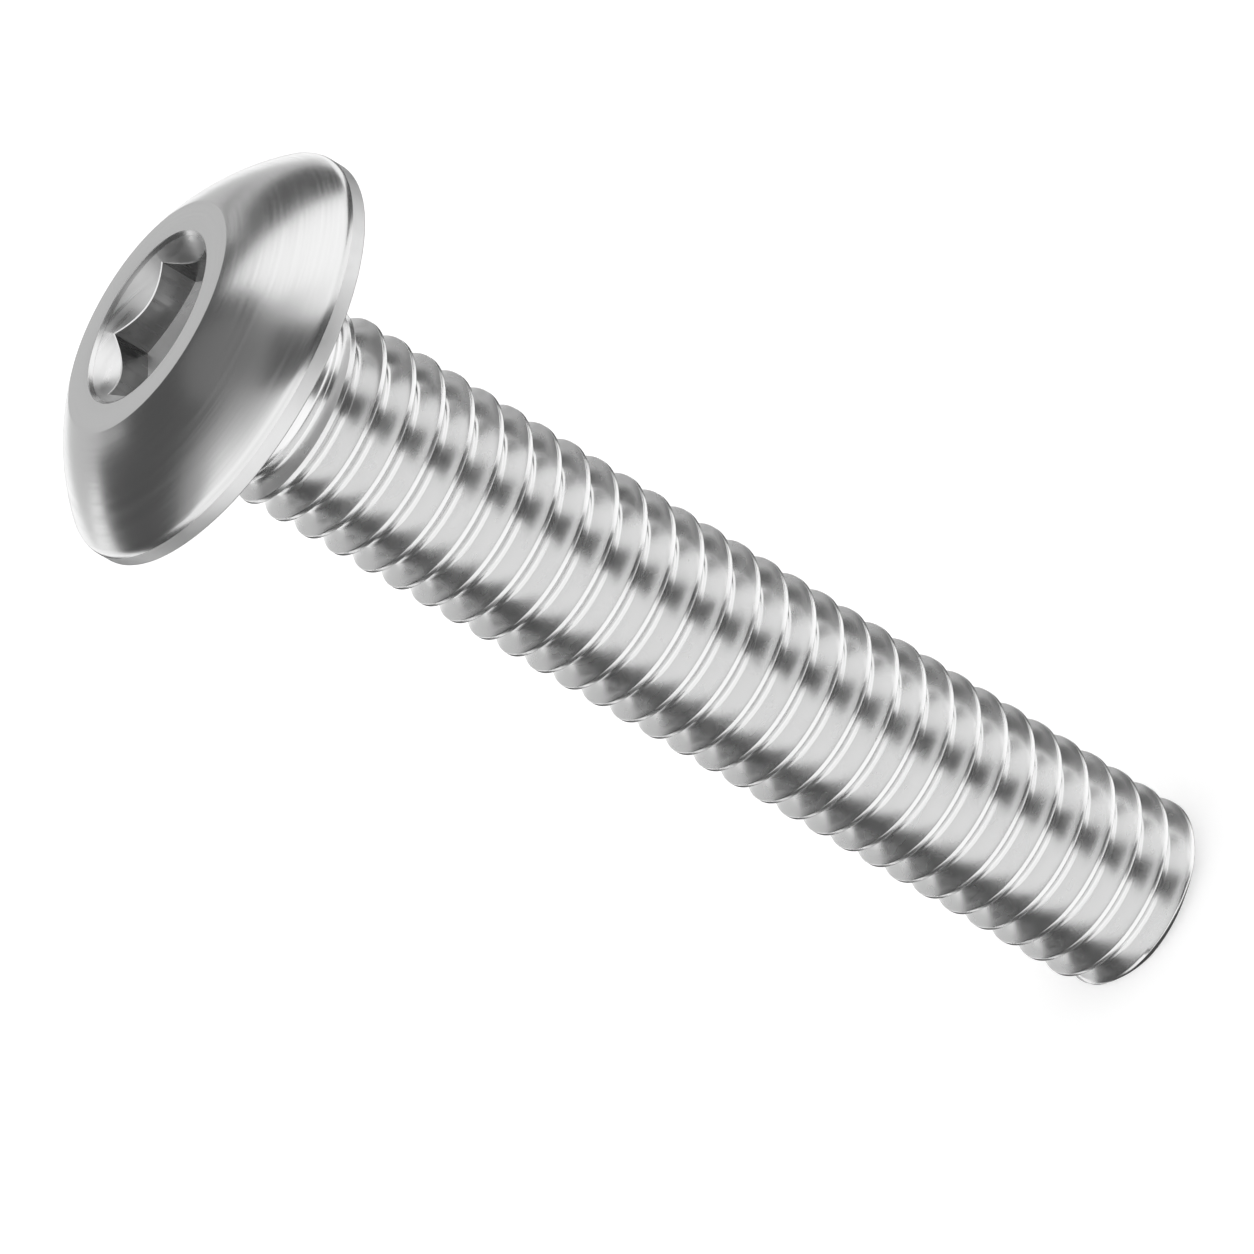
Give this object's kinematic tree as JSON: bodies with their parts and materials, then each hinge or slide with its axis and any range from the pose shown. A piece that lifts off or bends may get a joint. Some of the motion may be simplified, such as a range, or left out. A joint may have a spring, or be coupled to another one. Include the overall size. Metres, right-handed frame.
{
  "type": "button head screw",
  "caption": "Stainless button head socket screw with a low domed head, a hexagon socket and a fine right-hand thread along nearly all of its shank.",
  "frame": {"origin": "centre of the end face, which is the lowest face as the screw stands on its tip", "axes": "+Z along the screw's axis, from the end face towards the head; +Y through a corner of the hexagon socket"},
  "size_m": [0.0062, 0.0062, 0.0176],
  "materials": {
    "screw_steel": "satin stainless steel, cold headed and rolled"
  },
  "bodies": {
    "root": {"screw": "screw_steel"}
  },
  "joints": []
}
